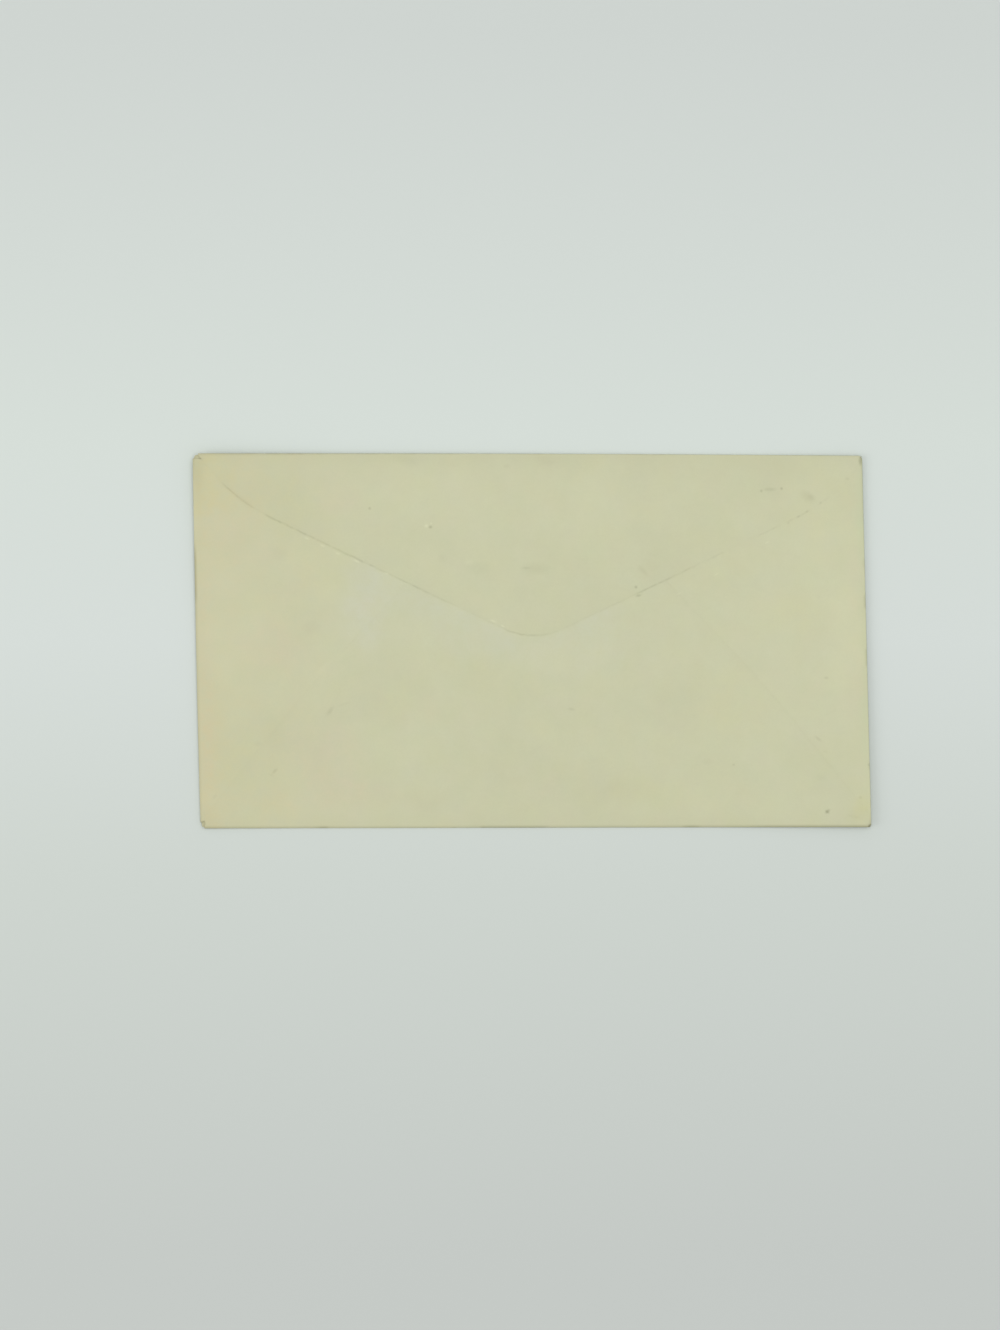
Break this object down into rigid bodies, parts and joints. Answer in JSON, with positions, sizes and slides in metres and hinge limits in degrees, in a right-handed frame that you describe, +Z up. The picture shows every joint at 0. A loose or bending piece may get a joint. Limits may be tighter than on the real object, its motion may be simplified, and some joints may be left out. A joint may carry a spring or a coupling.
{
  "type": "envelope",
  "caption": "Old cream paper letter envelope, closed and lying face down, with a pointed seal flap.",
  "frame": {"origin": "middle of the address panel's outside, which lies face down on z = 0", "axes": "+X along the envelope's width, +Y from the bottom fold towards the seal flap's fold, +Z up through the flaps"},
  "size_m": [0.1672, 0.092, 0.001],
  "materials": {
    "paper": "matte"
  },
  "bodies": {
    "root": {"envelope": "paper"}
  },
  "joints": []
}
